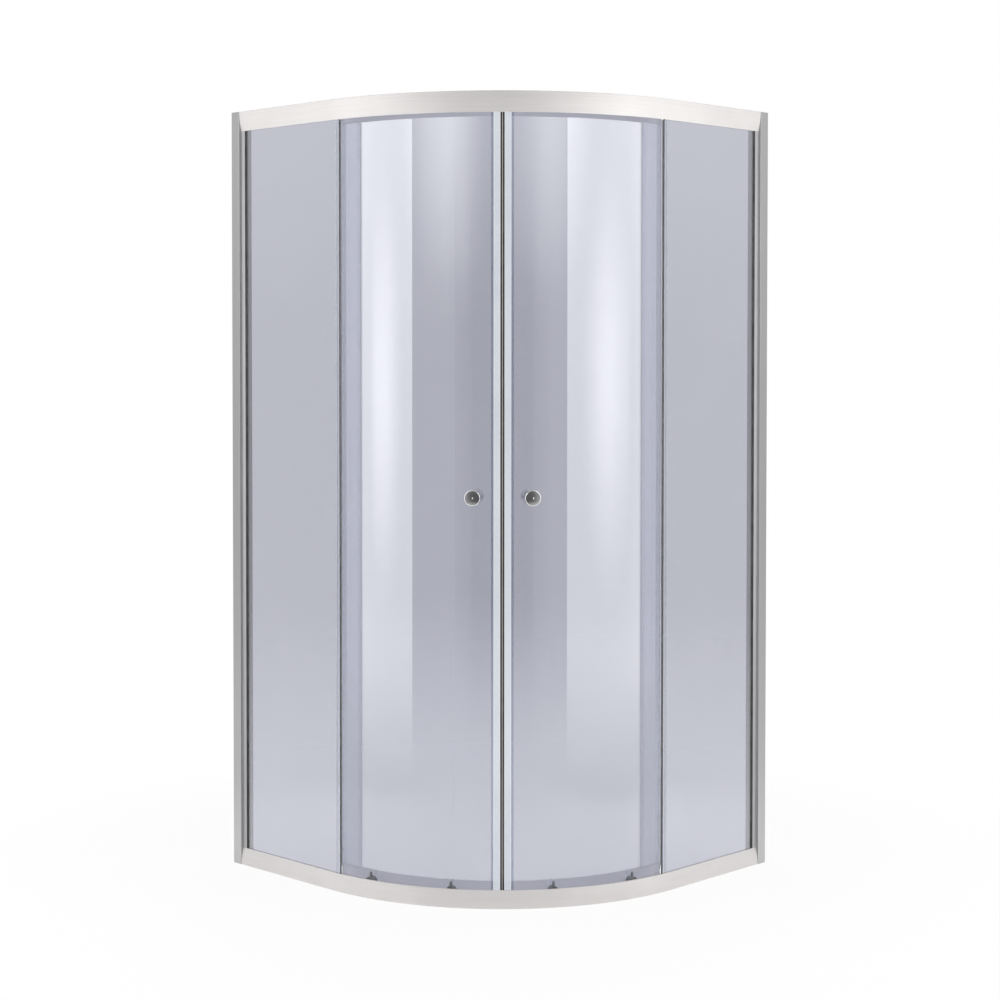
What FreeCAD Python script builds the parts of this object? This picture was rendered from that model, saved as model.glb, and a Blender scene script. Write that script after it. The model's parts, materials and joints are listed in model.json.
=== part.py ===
"""Quadrant shower enclosure: two fixed side panes, two bent sliding doors, rails above and below.

Millimetres, +Z up. The origin is on the floor, in the middle of the square footprint. The walls
stand at -X (left) and +Y (right), and the bow faces +X and -Y. Each right-hand piece is modelled
once, and its left-hand twin is its mirror image about the diagonal of the footprint.

A place on the right-hand panel is given by s, the distance from the wall, and n, the distance
inward from the outer face. On the bow, an angle from the end of the panel takes the place of s.
"""
import FreeCAD
import Part
import math
import os

Vector = FreeCAD.Vector

# Overall size
SIDE = 900.0
BOW_RADIUS = 550.0
HEIGHT = 1790.0

# Glass
GLASS = 5.0
PANE_INSET = 8.5
PANE_OVERLAP = 24.0
GLAZING = 0.9
GLASS_HOLE_R = 4.5

# Rails: hollow extrusions with a convex skin, a glass pocket and a roller track
RAIL_WALL = 1.6
BOTTOM_RAIL_HEIGHT = 40.0
TOP_RAIL_HEIGHT = 46.0
SKIN_LEAN = 6.0
BOTTOM_POCKET = 12.0
TOP_POCKET = 16.0
POCKET_STEP = 2.0
PANE_SEAT = 2.0
TRACK_WIDTH = 22.4
BOTTOM_LIP = 6.0
TOP_LIP = 6.0
LEDGE_BEAD = 2.4
LEDGE_SETBACK = 3.0
RAIL_EDGE = 1.0
RAIL_NOSE = 0.8

# Screw slots in the rail chambers
SCREW_R = 1.8
SCREW_LENGTH = 18.0
SCREW_HEAD_R = 3.4
SCREW_HEAD = 2.2
SLOT_RIB = 1.4
SLOT_DEPTH = 5.0
SLOT_AXIS = 2.4
SLOT_EDGE = 6.5

# Wall profile and the jamb that slides in it
PROFILE_WIDTH = 28.0
PROFILE_BASE = 2.0
PROFILE_WALL = 1.6
WALL_HOLE_R = 3.0
WALL_HOLE_MARGIN = 100.0
WALL_HOLE_COUNT = 4
JAMB_WALL = 1.5
JAMB_PLAY = 0.3
JAMB_STEP = 0.7
JAMB_TAIL = 4.0
JAMB_POCKET = 12.3
JAMB_FIN = 1.4
JAMB_GLASS_GAP = 3.3
GASKET_BULB = 6.0
GASKET_PROUD = 2.0
JAMB_SCREW_S = 17.0
JAMB_SCREW_MARGIN = 150.0
JAMB_SCREW_COUNT = 3
JAMB_SCREW_LENGTH = 8.0
CAP_R = 5.5
CAP_DEPTH = 3.6
CAP_WALL = 0.9

# Edge seals
SEAL_WALL = 1.2
PANE_SEAL_GRIP = 10.0
DOOR_SEAL_GRIP = 13.0
PANE_LIP_REACH = 21.0
PANE_LIP_LEAN = 22.0
DOOR_LIP_REACH = 12.5
DOOR_LIP_LEAN = 16.0
LIP_THICK = 0.9
LIP_CLEAR = 17.0
SEAL_CLEAR = 1.0

# Doors
DOOR_GAP = 6.0
DOOR_BOTTOM = 10.0
DOOR_TOP_DROP = 2.0
DOOR_TAIL = 12.0
MEETING_GAP = 0.3
MAGNET_WIDTH = 2.4
MAGNET_ROOT = 2.5
MAGNET_ROOT_DEPTH = 2.0
MAGNET_EDGE = 0.5
MAGNET_FIT = 0.05
MAGNET_SEAL_WIDTH = 25.0
MAGNET_BLOCK = 19.5
OPEN_MARGIN = 115.0

# Knobs
KNOB_HEIGHT = 902.0
KNOB_FROM_MEETING = 63.0
KNOB_LENGTH = 32.0
KNOB_BACK_R = 15.3
KNOB_FRONT_R = 17.5
KNOB_RIM = 1.6
KNOB_BACK_CHAMFER = 1.0
KNOB_CROWN = 0.7
KNOB_BORE = 15.0
WASHER_R = 13.0
WASHER = 1.2

# Rollers
LEAD_ROLLER_ANGLE = 32.2
TRAIL_ROLLER_ANGLE = 9.95
BOLT_R = 3.0
FIT = 0.05
RUNNING_GAP = 0.3
TOP_WHEEL_R = 11.5
TOP_WHEEL_WIDTH = 5.5
TOP_WHEEL_CROWN = 0.4
TOP_WHEEL_HUB = 5.0
TOP_WHEEL_RIM = 8.8
TOP_WHEEL_RECESS = 0.9
TOP_HEAD = 1.8
TOP_HEAD_R = 5.0
HUB_R = 8.0
HUB_NECK_R = 5.2
HUB_NECK = 1.8
HUB_SPIGOT = 4.2
CAP_NUT_R = 12.0
CAP_NUT_RIM = 3.0
CAP_NUT_DOME = 4.5
CAP_NUT_GRIP = 4.0

# Bottom rollers with their release posts
HOUSING_HALF = 11.0
HOUSING_DEPTH = 15.5
HOUSING_WALL = 1.5
HOUSING_FOOT = 8.0
HOUSING_SHOULDER = 28.0
HOUSING_CEILING = 35.0
CAVITY_DEPTH = 9.4
BOTTOM_WHEEL_R = 7.5
BOTTOM_WHEEL_WIDTH = 5.0
BOTTOM_WHEEL_EDGE = 0.8
CHEEK = 2.0
CHEEK_HALF = 3.2
BRIDGE = 2.2
BRIDGE_HALF = 4.4
LIFT = 6.0
PIN_R = 2.0
PIN_HEAD_R = 3.0
PIN_HEAD = 0.7
POST_R = 3.0
POST_TOP = 50.0
POST_TIP = 2.0
SPRING_R = 3.8
SPRING_WIRE_R = 0.5
SPRING_TURNS = 4
FIXING_HEIGHT = 24.0
FIXING_GRIP = 4.0
FIXING_HEAD_R = 9.0
FIXING_RIM = 1.2
FIXING_DOME = 2.3

# Rubber stops on the top track
STOP_LENGTH = 20.0
STOP_HEIGHT = 12.0
STOP_GAP = 1.5

# Places worked out from the sizes above
HALF = SIDE / 2
PANEL = SIDE - BOW_RADIUS
CENTRE = Vector(HALF - BOW_RADIUS, BOW_RADIUS - HALF, 0)
UP = Vector(0, 0, 1)
OUTWARD = Vector(1, 0, 0)
ALONG = Vector(0, -1, 0)
BOW_ANGLE = 45.0

POCKET_OUT = PANE_INSET - GLAZING
POCKET_IN = PANE_INSET + GLASS + GLAZING
WEB_IN = POCKET_IN + RAIL_WALL
TRACK_IN = WEB_IN + TRACK_WIDTH
RAIL_DEPTH = TRACK_IN + RAIL_WALL
POCKET_FLOOR = BOTTOM_RAIL_HEIGHT - BOTTOM_POCKET
POCKET_CEILING = TOP_RAIL_HEIGHT - TOP_POCKET
LEDGE = POCKET_CEILING - RAIL_WALL
BEAD_IN = RAIL_DEPTH - LEDGE_SETBACK
UNDER_TOP_RAIL = HEIGHT - TOP_RAIL_HEIGHT
PANE_BOTTOM = POCKET_FLOOR + PANE_SEAT
PANE_TOP = HEIGHT - POCKET_CEILING - PANE_SEAT

JAMB_FRONT = PROFILE_WIDTH + JAMB_STEP
JAMB_OUT = PROFILE_WALL + JAMB_PLAY
JAMB_IN = RAIL_DEPTH - JAMB_OUT
FIN_END = JAMB_FRONT + JAMB_POCKET
PANE_START = JAMB_FRONT + JAMB_GLASS_GAP
PANE_END = PANEL + PANE_OVERLAP

DOOR_OUT = RAIL_DEPTH + DOOR_GAP
DOOR_IN = DOOR_OUT + GLASS
DOOR_TOP = HEIGHT - DOOR_TOP_DROP
TRAVEL = PANEL - OPEN_MARGIN
KNOB_ANGLE = BOW_ANGLE - math.degrees(KNOB_FROM_MEETING / (BOW_RADIUS - DOOR_OUT))
TOP_AXLE = HEIGHT - LEDGE + RUNNING_GAP + TOP_WHEEL_R
BOTTOM_AXLE = RAIL_WALL + RUNNING_GAP + BOTTOM_WHEEL_R
TOP_WHEEL_OUT = (WEB_IN + BEAD_IN - RAIL_WALL - TOP_WHEEL_WIDTH) / 2 + RUNNING_GAP
TOP_WHEEL_IN = TOP_WHEEL_OUT + TOP_WHEEL_WIDTH
HOUSING_OUT = DOOR_OUT - HOUSING_DEPTH
CAVITY_OUT = HOUSING_OUT + HOUSING_WALL
CAVITY_IN = CAVITY_OUT + CAVITY_DEPTH
CHEEK_OUT = CAVITY_OUT + RUNNING_GAP
CHEEK_IN = CHEEK_OUT + CHEEK
COLLAR_IN = HOUSING_OUT - RUNNING_GAP
BOTTOM_WHEEL_IN = COLLAR_IN - PIN_HEAD - RUNNING_GAP
BOTTOM_WHEEL_OUT = BOTTOM_WHEEL_IN - BOTTOM_WHEEL_WIDTH
POST_N = CHEEK_OUT + BRIDGE_HALF
BRIDGE_LOW = BOTTOM_AXLE + BOTTOM_WHEEL_R + RUNNING_GAP
BRIDGE_HIGH = BRIDGE_LOW + BRIDGE
ROLLER_ANGLES = {"lead": LEAD_ROLLER_ANGLE, "trail": TRAIL_ROLLER_ANGLE}


def at(s, n, z=0.0):
    """Point of the right-hand panel, s from the wall and n inward from the outer face."""
    return Vector(HALF - n, HALF - s, z)


def face(start, *steps):
    """Closed face through points; a step that is a pair (middle, end) is an arc."""
    edges = []
    here = start
    for step in steps + (start,):
        if isinstance(step, tuple):
            middle, end = step
            edges.append(Part.Arc(here, middle, end).toShape())
        else:
            end = step
            edges.append(Part.LineSegment(here, end).toShape())
        here = end
    return Part.Face(Part.Wire(edges))


def plan(z_low, z_high, *corners):
    """Upright piece over an outline of (s, n) corners; a pair of corners is an arc."""
    steps = []
    for corner in corners:
        if isinstance(corner[0], tuple):
            steps.append((at(*corner[0], z_low), at(*corner[1], z_low)))
        else:
            steps.append(at(*corner, z_low))
    return face(*steps).extrude(UP * (z_high - z_low))


def block(s_from, s_to, n_out, n_in, z_low, z_high):
    """Straight upright piece between two distances along the panel and two inward."""
    return plan(z_low, z_high, (s_from, n_out), (s_to, n_out), (s_to, n_in), (s_from, n_in))


def rounded_tip(s_end, n_from, n_to):
    """End of a thin wall along the panel, rounded over its whole thickness."""
    radius = abs(n_to - n_from) / 2
    return (s_end - radius, n_from), ((s_end, (n_from + n_to) / 2), (s_end - radius, n_to))


def sector(n_out, n_in, start, stop, z_low, z_high):
    """Piece of the bow between two distances inward and two angles from the panel's end."""
    strip = face(
        at(PANEL, n_out, z_low),
        at(PANEL, n_in, z_low),
        at(PANEL, n_in, z_high),
        at(PANEL, n_out, z_high),
    )
    strip.rotate(CENTRE, UP, -start)
    return strip.revolve(CENTRE, UP, start - stop)


def rod(radius, n_out, n_in, z, s=PANEL):
    """Cylinder on an inward axis."""
    return Part.makeCylinder(radius, n_in - n_out, at(s, n_in, z), OUTWARD)


def turned(z, *profile, s=PANEL):
    """Turned piece on an inward axis, from (n, radius) corners or arcs."""
    steps = []
    for corner in profile:
        if isinstance(corner[0], tuple):
            steps.append(tuple(at(s, n, z + radius) for n, radius in corner))
        else:
            steps.append(at(s, corner[0], z + corner[1]))
    return face(*steps).revolve(at(s, 0, z), OUTWARD, 360)


def dome(radius, rise):
    """Middle of a spherical cap's outline: its distance from the axis, and from the cap's base."""
    sphere = (radius ** 2 + rise ** 2) / (2 * rise)
    half_turn = math.atan2(radius, sphere - rise) / 2
    return sphere * math.sin(half_turn), rise - sphere * (1 - math.cos(half_turn))


def swung(shape, angle):
    """Copy of a piece modelled at the panel's end, moved round the bow."""
    piece = shape.copy()
    piece.rotate(CENTRE, UP, -angle)
    return piece


def mirrored(shape):
    """Left-hand twin of a right-hand piece."""
    return shape.mirror(Vector(0, 0, 0), Vector(1, 1, 0))


def spaced(margin, count):
    """Heights of a row of holes up the full height, with a margin at both ends."""
    step = (HEIGHT - 2 * margin) / (count - 1)
    return [margin + step * index for index in range(count)]


def angle_of(length):
    """Angle round the bow of a length measured along the middle of the door glass."""
    return math.degrees(length / (BOW_RADIUS - DOOR_OUT - GLASS / 2))


def from_meeting(length):
    """Angle of a place that lies a length short of the plane where the doors meet."""
    return BOW_ANGLE - angle_of(length)


def skin(height, rail_height):
    """Distance of the convex rail skin from the outer face, at a height above its widest edge."""
    return SKIN_LEAN * (height / rail_height) ** 2


def rail(outline, chamber, ribs, to_z):
    """Bent rail: a hollow section drawn along one panel, round the bow and along the other."""

    def drawn(corners):
        steps = []
        for corner in corners:
            if isinstance(corner[0], tuple):
                steps.append(tuple(at(PANEL, n, to_z(h)) for n, h in corner))
            else:
                steps.append(at(PANEL, corner[0], to_z(corner[1])))
        return face(*steps)

    section = drawn(outline).cut(drawn(chamber).cut([drawn(rib) for rib in ribs])).Faces[0]
    straight = section.extrude(-ALONG * (PANEL - JAMB_FRONT))
    bow = section.revolve(CENTRE, UP, -2 * BOW_ANGLE)
    return straight.fuse([bow, mirrored(straight)]).removeSplitter()


def skin_arc(h_from, h_to, rail_height, inset):
    """Arc of the rail skin, as a pair (middle, end), from one height to another."""
    middle = (h_from + h_to) / 2
    return tuple((skin(h, rail_height) + inset, h) for h in (middle, h_to))


def rail_skin(rail_height):
    """Outer skin of a rail from its rounded widest edge to the rounded tip at the glass pocket."""
    bend = RAIL_EDGE * (1 - math.sqrt(0.5))
    tip = rail_height - RAIL_NOSE
    tip_middle = (skin(tip, rail_height) + POCKET_OUT) / 2
    return [
        (RAIL_EDGE, 0),
        ((bend, bend), (skin(RAIL_EDGE, rail_height), RAIL_EDGE)),
        skin_arc(RAIL_EDGE, tip, rail_height, 0),
        ((tip_middle, rail_height), (POCKET_OUT, tip)),
    ]


def slot_heights(chamber_top):
    """Heights of the two screw slots in a rail chamber."""
    return (RAIL_WALL + SLOT_EDGE, chamber_top - SLOT_EDGE)


def chamber_outline(chamber_top, rail_height):
    """Inside of the hollow between the skin and the web."""
    return [
        (skin(RAIL_WALL, rail_height) + RAIL_WALL, RAIL_WALL),
        skin_arc(RAIL_WALL, chamber_top, rail_height, RAIL_WALL),
        (POCKET_IN, chamber_top),
        (POCKET_IN, RAIL_WALL),
    ]


def slot_ribs(chamber_top):
    """Pairs of ribs on the web that take the rail screws between them."""
    ribs = []
    for height in slot_heights(chamber_top):
        for side in (-1, 1):
            near = height + side * (SCREW_R + FIT)
            far = near + side * SLOT_RIB
            ribs.append([
                (POCKET_IN, near),
                (POCKET_IN - SLOT_DEPTH, near),
                (POCKET_IN - SLOT_DEPTH, far),
                (POCKET_IN, far),
            ])
    return ribs


def bottom_rail():
    """Rail on the floor: glass pocket in front, open wheel channel with a lip behind."""
    chamber_top = POCKET_FLOOR - RAIL_WALL
    outline = rail_skin(BOTTOM_RAIL_HEIGHT) + [
        (POCKET_OUT, POCKET_FLOOR),
        (POCKET_IN, POCKET_FLOOR),
        (POCKET_IN, BOTTOM_RAIL_HEIGHT - POCKET_STEP),
        (WEB_IN, BOTTOM_RAIL_HEIGHT - POCKET_STEP),
        (WEB_IN, RAIL_WALL),
        (TRACK_IN, RAIL_WALL),
        (TRACK_IN, BOTTOM_LIP),
        (RAIL_DEPTH, BOTTOM_LIP),
        (RAIL_DEPTH, 0),
    ]
    chamber = chamber_outline(chamber_top, BOTTOM_RAIL_HEIGHT)
    return rail(outline, chamber, slot_ribs(chamber_top), lambda height: height)


def top_rail():
    """Rail overhead: glass pocket in front, ledge with a bead for the wheels behind."""
    chamber_top = LEDGE
    outline = rail_skin(TOP_RAIL_HEIGHT) + [
        (POCKET_OUT, POCKET_CEILING),
        (POCKET_IN, POCKET_CEILING),
        (POCKET_IN, TOP_RAIL_HEIGHT - POCKET_STEP),
        (WEB_IN, TOP_RAIL_HEIGHT - POCKET_STEP),
        (WEB_IN, POCKET_CEILING),
        (BEAD_IN, POCKET_CEILING),
        (BEAD_IN, LEDGE - LEDGE_BEAD),
        (BEAD_IN - RAIL_WALL, LEDGE - LEDGE_BEAD),
        (BEAD_IN - RAIL_WALL, LEDGE),
        (WEB_IN, LEDGE),
        (WEB_IN, RAIL_WALL),
        (TRACK_IN, RAIL_WALL),
        (TRACK_IN, TOP_LIP),
        (RAIL_DEPTH, TOP_LIP),
        (RAIL_DEPTH, 0),
    ]
    chamber = chamber_outline(chamber_top, TOP_RAIL_HEIGHT)
    return rail(outline, chamber, slot_ribs(chamber_top), lambda drop: HEIGHT - drop)


def rail_screw_heights():
    """Heights of the four rail screws at one jamb."""
    low = slot_heights(POCKET_FLOOR - RAIL_WALL)
    high = slot_heights(LEDGE)
    return list(low) + [HEIGHT - drop for drop in high]


def wall_profile():
    """Upright channel against the wall, with holes for the wall screws."""
    inner = RAIL_DEPTH - PROFILE_WALL
    channel = plan(
        0, HEIGHT,
        (0, 0), *rounded_tip(PROFILE_WIDTH, 0, PROFILE_WALL), (PROFILE_BASE, PROFILE_WALL),
        (PROFILE_BASE, inner), *rounded_tip(PROFILE_WIDTH, inner, RAIL_DEPTH), (0, RAIL_DEPTH),
    )
    holes = [
        Part.makeCylinder(WALL_HOLE_R, PROFILE_BASE, at(0, RAIL_DEPTH / 2, z), ALONG)
        for z in spaced(WALL_HOLE_MARGIN, WALL_HOLE_COUNT)
    ]
    holes += [
        rod(SCREW_R + FIT, RAIL_DEPTH - PROFILE_WALL, RAIL_DEPTH, z, JAMB_SCREW_S)
        for z in spaced(JAMB_SCREW_MARGIN, JAMB_SCREW_COUNT)
    ]
    return channel.cut(holes)


def side_jamb():
    """Inner upright: a channel that slides in the wall profile, with two fins that hold the glass."""
    channel = plan(
        0, HEIGHT,
        (JAMB_TAIL, JAMB_OUT), (JAMB_FRONT, JAMB_OUT), (JAMB_FRONT, JAMB_IN), (JAMB_TAIL, JAMB_IN),
        (JAMB_TAIL, JAMB_IN - JAMB_WALL), (JAMB_FRONT - JAMB_WALL, JAMB_IN - JAMB_WALL),
        (JAMB_FRONT - JAMB_WALL, JAMB_OUT + JAMB_WALL), (JAMB_TAIL, JAMB_OUT + JAMB_WALL),
    )
    fins = [
        plan(
            BOTTOM_RAIL_HEIGHT, UNDER_TOP_RAIL,
            (JAMB_FRONT, n), *rounded_tip(FIN_END, n, n + JAMB_FIN), (JAMB_FRONT, n + JAMB_FIN),
        )
        for n in (POCKET_OUT - JAMB_FIN, POCKET_IN)
    ]
    slot_n = POCKET_IN - SLOT_AXIS
    holes = [
        Part.makeCylinder(SCREW_R + FIT, JAMB_WALL, at(JAMB_FRONT - JAMB_WALL, slot_n, z), ALONG)
        for z in rail_screw_heights()
    ]
    holes += [
        rod(SCREW_R + FIT, JAMB_IN - JAMB_WALL, JAMB_IN, z, JAMB_SCREW_S)
        for z in spaced(JAMB_SCREW_MARGIN, JAMB_SCREW_COUNT)
    ]
    return channel.fuse(fins).removeSplitter().cut(holes)


def jamb_gasket():
    """Rubber between the jamb's fins and the pane, with a rounded bulb on each side."""
    bulb_end = FIN_END + GASKET_BULB
    pane_in = PANE_INSET + GLASS
    half = GASKET_PROUD / 2
    outer_bulb = ((bulb_end - half, PANE_INSET - half), (bulb_end, PANE_INSET))
    inner_bulb = ((bulb_end - half, pane_in + half), (FIN_END, pane_in + GASKET_PROUD))
    return plan(
        BOTTOM_RAIL_HEIGHT, UNDER_TOP_RAIL,
        (JAMB_FRONT, POCKET_OUT), (FIN_END, POCKET_OUT), (FIN_END, PANE_INSET - GASKET_PROUD),
        outer_bulb, (PANE_START, PANE_INSET), (PANE_START, pane_in), (bulb_end, pane_in), inner_bulb,
        (FIN_END, POCKET_IN), (JAMB_FRONT, POCKET_IN),
    )


def fixed_glass():
    """Flat pane that stands in the jamb and in both rail pockets."""
    return block(PANE_START, PANE_END, PANE_INSET, PANE_INSET + GLASS, PANE_BOTTOM, PANE_TOP)


def glazing_gaskets():
    """Rubber channels round the lower and upper edge of one pane, in the rail pockets."""
    spans = (
        (POCKET_FLOOR, BOTTOM_RAIL_HEIGHT - POCKET_STEP),
        (UNDER_TOP_RAIL + POCKET_STEP, HEIGHT - POCKET_CEILING),
    )
    pane = fixed_glass()
    return [block(JAMB_FRONT, PANEL, POCKET_OUT, POCKET_IN, low, high).cut(pane) for low, high in spans]


def fixed_edge_seal():
    """Clear channel on the free edge of the pane, with a lip that leans back towards the wall."""
    outer = PANE_INSET - SEAL_WALL
    grip_out = PANE_INSET - FIT
    grip_in = PANE_INSET + GLASS + FIT
    grip_end = PANE_END + FIT
    inner = PANE_INSET + GLASS + SEAL_WALL
    end = PANE_END + SEAL_WALL
    start = PANE_END - PANE_SEAL_GRIP
    tip = inner + PANE_LIP_REACH
    low = BOTTOM_RAIL_HEIGHT + SEAL_CLEAR
    high = UNDER_TOP_RAIL - SEAL_CLEAR
    channel = plan(
        low, high,
        (start, outer), (end, outer), (end, inner), (start, inner),
        (start, grip_in), (grip_end, grip_in), (grip_end, grip_out), (start, grip_out),
    )
    lip = plan(
        low + LIP_CLEAR, high,
        (PANE_END - SEAL_WALL, grip_in), (end, grip_in), (end, inner),
        (end - PANE_LIP_LEAN, tip), (end - PANE_LIP_LEAN - LIP_THICK, tip), (PANE_END - SEAL_WALL, inner),
    )
    return channel.fuse(lip).removeSplitter()


def screw(head_radius, head, length):
    """Pan head screw that points along the panel, with its head's seat at the origin."""
    shank = Part.makeCylinder(SCREW_R, length, Vector(0, 0, 0), ALONG)
    cap = Part.makeCylinder(head_radius, head, Vector(0, 0, 0), -ALONG)
    return shank.fuse(cap).removeSplitter()


def rail_screws():
    """Screws from inside one jamb into the slots of both rails."""
    screws = []
    for z in rail_screw_heights():
        piece = screw(SCREW_HEAD_R, SCREW_HEAD, SCREW_LENGTH)
        piece.translate(at(JAMB_FRONT - JAMB_WALL, POCKET_IN - SLOT_AXIS, z))
        screws.append(piece)
    return screws


def jamb_screws():
    """Screws that clamp one jamb in its wall profile, from inside the enclosure."""
    screws = []
    for z in spaced(JAMB_SCREW_MARGIN, JAMB_SCREW_COUNT):
        piece = screw(SCREW_HEAD_R, SCREW_HEAD, JAMB_SCREW_LENGTH)
        piece.rotate(Vector(0, 0, 0), UP, 90)
        piece.translate(at(JAMB_SCREW_S, RAIL_DEPTH, z))
        screws.append(piece)
    return screws


def jamb_screw_caps():
    """Snap caps over the heads of the jamb screws."""
    caps = []
    top = RAIL_DEPTH + CAP_DEPTH
    for z in spaced(JAMB_SCREW_MARGIN, JAMB_SCREW_COUNT):
        caps.append(turned(
            z,
            (RAIL_DEPTH, CAP_R - CAP_WALL), (RAIL_DEPTH, CAP_R), (top - CAP_WALL, CAP_R),
            (top, CAP_R - CAP_WALL), (top, 0), (top - CAP_WALL, 0), (top - CAP_WALL, CAP_R - CAP_WALL),
            s=JAMB_SCREW_S,
        ))
    return caps


def door_stop():
    """Rubber block on the top ledge, just past the rear wheel of an open door."""
    wheel_arc = math.radians(TRAIL_ROLLER_ANGLE) * (BOW_RADIUS - TOP_WHEEL_OUT)
    face_s = PANEL + wheel_arc - TRAVEL - TOP_WHEEL_R - STOP_GAP
    low = HEIGHT - LEDGE
    return block(face_s - STOP_LENGTH, face_s, WEB_IN, BEAD_IN - RAIL_WALL, low, low + STOP_HEIGHT)


def door_blank():
    """Bent pane before its holes are drilled."""
    start = angle_of(SEAL_WALL - DOOR_TAIL)
    return sector(DOOR_OUT, DOOR_IN, start, from_meeting(MAGNET_BLOCK), DOOR_BOTTOM, DOOR_TOP)


def door_glass():
    """Bent pane with holes for the knob and the four rollers."""
    places = [(KNOB_ANGLE, KNOB_HEIGHT)]
    for angle in ROLLER_ANGLES.values():
        places += [(angle, TOP_AXLE), (angle, FIXING_HEIGHT)]
    holes = [
        swung(rod(GLASS_HOLE_R, DOOR_OUT - GLASS, DOOR_IN + GLASS, z), angle)
        for angle, z in places
    ]
    return door_blank().cut(holes)


def magnet_seal():
    """Clear hollow channel on the leading edge of a door, with a groove for the magnet strip."""
    outer = DOOR_OUT - SEAL_WALL
    inner = DOOR_IN + SEAL_WALL
    front = MEETING_GAP + MAGNET_WIDTH
    middle = (outer + inner) / 2
    groove = MAGNET_ROOT / 2 + MAGNET_FIT
    hollow = sector(
        DOOR_OUT, DOOR_IN, from_meeting(MAGNET_BLOCK - SEAL_WALL),
        from_meeting(front + MAGNET_ROOT_DEPTH + SEAL_WALL), DOOR_BOTTOM, DOOR_TOP,
    )
    start = from_meeting(MAGNET_SEAL_WIDTH)
    body = sector(outer, inner, start, from_meeting(front), DOOR_BOTTOM, DOOR_TOP)
    root = sector(
        middle - groove, middle + groove,
        from_meeting(front + MAGNET_ROOT_DEPTH), from_meeting(front), DOOR_BOTTOM, DOOR_TOP,
    )
    grip_end = from_meeting(MAGNET_BLOCK - FIT)
    grip = sector(DOOR_OUT - FIT, DOOR_IN + FIT, start, grip_end, DOOR_BOTTOM, DOOR_TOP)
    return body.cut([grip, root, hollow])


def magnet_strip():
    """Dark magnet strip that faces the other door, with a root in its seal."""
    outer = DOOR_OUT - SEAL_WALL + MAGNET_EDGE
    inner = DOOR_IN + SEAL_WALL - MAGNET_EDGE
    middle = (outer + inner) / 2
    front = MEETING_GAP + MAGNET_WIDTH
    strip = sector(outer, inner, from_meeting(front), from_meeting(MEETING_GAP), DOOR_BOTTOM, DOOR_TOP)
    root = sector(
        middle - MAGNET_ROOT / 2, middle + MAGNET_ROOT / 2,
        from_meeting(front + MAGNET_ROOT_DEPTH - MAGNET_FIT), from_meeting(front), DOOR_BOTTOM, DOOR_TOP,
    )
    return strip.fuse(root).removeSplitter()


def trailing_seal():
    """Clear channel on the rear edge of a door, with a lip that catches the lip of the fixed pane."""
    outer = DOOR_OUT - SEAL_WALL
    start = angle_of(-DOOR_TAIL)
    grip_end = angle_of(DOOR_SEAL_GRIP - DOOR_TAIL)
    channel = sector(outer, DOOR_IN + SEAL_WALL, start, grip_end, DOOR_BOTTOM, DOOR_TOP)
    grip_start = angle_of(SEAL_WALL - FIT - DOOR_TAIL)
    grip = sector(DOOR_OUT - FIT, DOOR_IN + FIT, grip_start, grip_end, DOOR_BOTTOM, DOOR_TOP)
    tip = outer - DOOR_LIP_REACH
    root = outer + SEAL_WALL / 2
    lip = plan(
        BOTTOM_RAIL_HEIGHT + SEAL_CLEAR, UNDER_TOP_RAIL - SEAL_CLEAR,
        (PANEL, root), (PANEL, outer),
        (PANEL + DOOR_LIP_LEAN, tip), (PANEL + DOOR_LIP_LEAN + LIP_THICK, tip),
        (PANEL + 2 * SEAL_WALL, outer), (PANEL + 2 * SEAL_WALL, root),
    )
    return channel.cut(grip).fuse(swung(lip, start)).removeSplitter()


def knob(seat, way):
    """Turned knob on the washer at n = seat, which stands outward (way -1) or inward (way 1)."""
    front = seat + way * KNOB_LENGTH
    bore = BOLT_R + FIT
    rim_bend = KNOB_RIM * (1 - math.sqrt(0.5))
    face_radius = KNOB_FRONT_R - KNOB_RIM
    middle, rise = dome(face_radius, KNOB_CROWN)
    return turned(
        KNOB_HEIGHT,
        (seat, bore),
        (seat, KNOB_BACK_R - KNOB_BACK_CHAMFER),
        (seat + way * KNOB_BACK_CHAMFER, KNOB_BACK_R),
        (front - way * KNOB_RIM, KNOB_FRONT_R),
        ((front - way * rim_bend, KNOB_FRONT_R - rim_bend), (front, face_radius)),
        ((front + way * rise, middle), (front + way * KNOB_CROWN, 0)),
        (seat + way * KNOB_BORE, 0),
        (seat + way * KNOB_BORE, bore),
    )


def knob_set():
    """Outer knob, inner knob, the stud that joins them and their two washers."""
    outer_seat = DOOR_OUT - WASHER
    inner_seat = DOOR_IN + WASHER
    stud_out = outer_seat - KNOB_BORE + WASHER
    stud_in = inner_seat + KNOB_BORE - WASHER
    outer_washer = rod(WASHER_R, outer_seat, DOOR_OUT + WASHER, KNOB_HEIGHT)
    inner_washer = rod(WASHER_R, DOOR_IN - WASHER, inner_seat, KNOB_HEIGHT)
    bore = rod(BOLT_R + FIT, stud_out, stud_in, KNOB_HEIGHT)
    blank = swung(door_blank(), -KNOB_ANGLE)
    washers = [washer.cut([blank, bore]) for washer in (outer_washer, inner_washer)]
    return {
        "knob_outer": [knob(outer_seat, -1)],
        "knob_inner": [knob(inner_seat, 1)],
        "knob_bolt": [rod(BOLT_R, stud_out, stud_in, KNOB_HEIGHT)],
        "knob_washers": washers,
    }


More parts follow.
